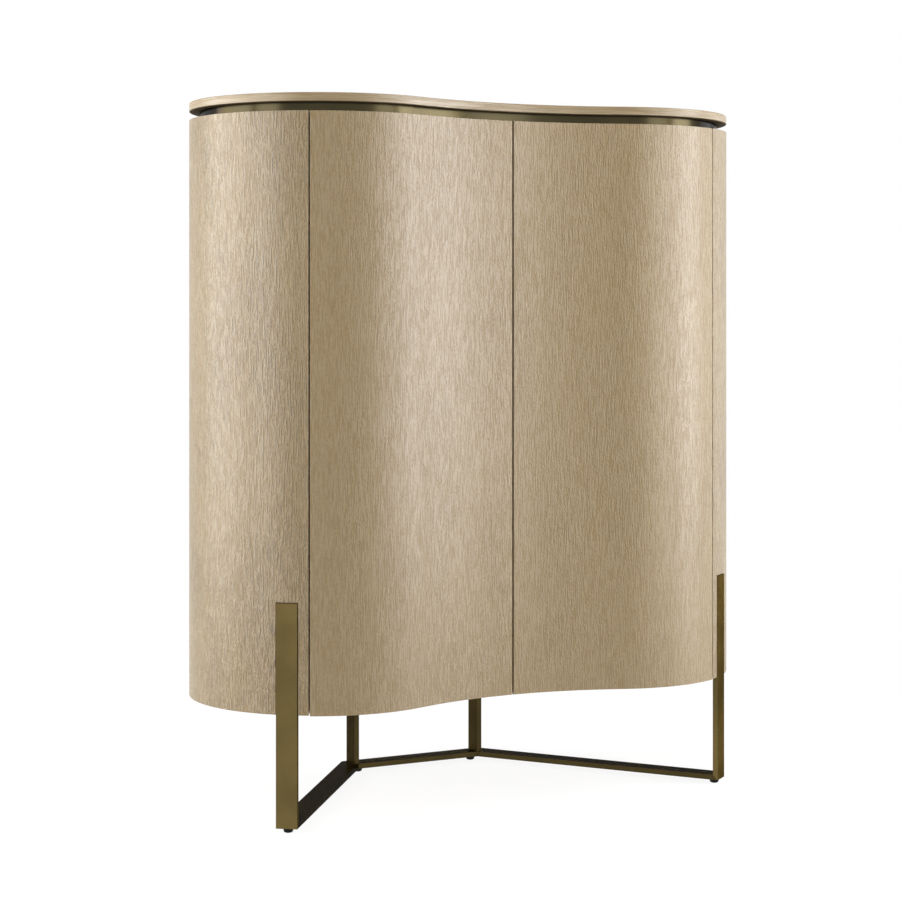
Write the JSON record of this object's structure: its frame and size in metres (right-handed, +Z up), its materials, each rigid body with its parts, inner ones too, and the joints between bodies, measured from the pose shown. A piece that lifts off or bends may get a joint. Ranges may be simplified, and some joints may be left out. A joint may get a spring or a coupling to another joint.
{
  "type": "highboard cabinet",
  "caption": "Tall cabinet on a bean-shaped plan with S-curved push-to-open doors, shelves inside, a floating top over a metal shadow gap, and a slim flat-bar base on levelling feet.",
  "frame": {"origin": "on the floor under the middle of the width and depth", "axes": "+X to the viewer's right when facing the doors, +Y to the back, +Z up"},
  "size_m": [1, 0.448, 1.184],
  "materials": {
    "oak_veneer": "satin, brushed vertical grain",
    "inner_board": "satin veneered board",
    "bronze": "satin dark bronze",
    "band_metal": "satin bronze strip",
    "steel": "satin",
    "foot_black": "matt black",
    "latch_grey": "matt grey",
    "washer_nylon": "matt white"
  },
  "bodies": {
    "cabinet": {"top_panel": "oak_veneer", "recess_core": "oak_veneer", "left_side_shell": "oak_veneer", "right_side_shell": "oak_veneer", "carcass_top": "inner_board", "bottom_panel": "inner_board", "back_panel": "inner_board", "centre_divider": "inner_board", "left_lower_shelf": "inner_board", "left_upper_shelf": "inner_board", "right_lower_shelf": "inner_board", "right_upper_shelf": "inner_board", "back_rail": "bronze", "left_front_leg": "bronze", "left_wing_rail": "bronze", "left_rear_post": "bronze", "left_post_plate": "bronze", "right_front_leg": "bronze", "right_wing_rail": "bronze", "right_rear_post": "bronze", "right_post_plate": "bronze", "cabinet_leaf_screws": "steel", "latch_screws": "steel", "leg_screws": "steel", "post_plate_screws": "steel", "back_panel_screws": "steel", "left_shelf_pins": "steel", "left_top_cabinet_leaf": "steel", "left_bottom_cabinet_leaf": "steel", "left_hinge_pins": "steel", "right_shelf_pins": "steel", "right_top_cabinet_leaf": "steel", "right_bottom_cabinet_leaf": "steel", "right_hinge_pins": "steel", "recess_band": "band_metal", "left_push_latch": "latch_grey", "right_push_latch": "latch_grey", "left_hinge_washers": "washer_nylon", "right_hinge_washers": "washer_nylon"},
    "left_door_swing": {"left_door": "oak_veneer", "left_strike_plate": "steel", "left_top_door_leaf": "steel", "left_bottom_door_leaf": "steel", "left_door_leaf_screws": "steel"},
    "right_door_swing": {"right_door": "oak_veneer", "right_strike_plate": "steel", "right_top_door_leaf": "steel", "right_bottom_door_leaf": "steel", "right_door_leaf_screws": "steel"},
    "left_plunger_push": {"left_latch_plunger": "latch_grey"},
    "right_plunger_push": {"right_latch_plunger": "latch_grey"},
    "front_left_level": {"front_left_foot": "foot_black", "front_left_foot_stem": "steel"},
    "front_right_level": {"front_right_foot": "foot_black", "front_right_foot_stem": "steel"},
    "rear_left_level": {"rear_left_foot": "foot_black", "rear_left_foot_stem": "steel"},
    "rear_right_level": {"rear_right_foot": "foot_black", "rear_right_foot_stem": "steel"}
  },
  "joints": [
    {"name": "left_door_hinge", "type": "hinge", "parent": "cabinet", "child": "left_door_swing", "pos_m": [-0.36071, -0.1987, 0.67225], "axis": [0, 0, -1], "range_deg": [0, 90]},
    {"name": "right_door_hinge", "type": "hinge", "parent": "cabinet", "child": "right_door_swing", "pos_m": [0.36071, -0.1987, 0.67225], "axis": [0, 0, 1], "range_deg": [0, 90]},
    {"name": "left_plunger_slide", "type": "slide", "parent": "cabinet", "child": "left_plunger_push", "axis": [-0.0718, 0.9974, 0], "range_m": [0, 0.003], "stiffness_N_per_m": 300, "springref_m": -0.004},
    {"name": "right_plunger_slide", "type": "slide", "parent": "cabinet", "child": "right_plunger_push", "axis": [0.0718, 0.9974, 0], "range_m": [0, 0.003], "stiffness_N_per_m": 300, "springref_m": -0.004},
    {"name": "front_left_foot_screw", "type": "slide", "parent": "cabinet", "child": "front_left_level", "axis": [0, 0, -1], "range_m": [0, 0.004]},
    {"name": "front_right_foot_screw", "type": "slide", "parent": "cabinet", "child": "front_right_level", "axis": [0, 0, -1], "range_m": [0, 0.004]},
    {"name": "rear_left_foot_screw", "type": "slide", "parent": "cabinet", "child": "rear_left_level", "axis": [0, 0, -1], "range_m": [0, 0.004]},
    {"name": "rear_right_foot_screw", "type": "slide", "parent": "cabinet", "child": "rear_right_level", "axis": [0, 0, -1], "range_m": [0, 0.004]}
  ]
}
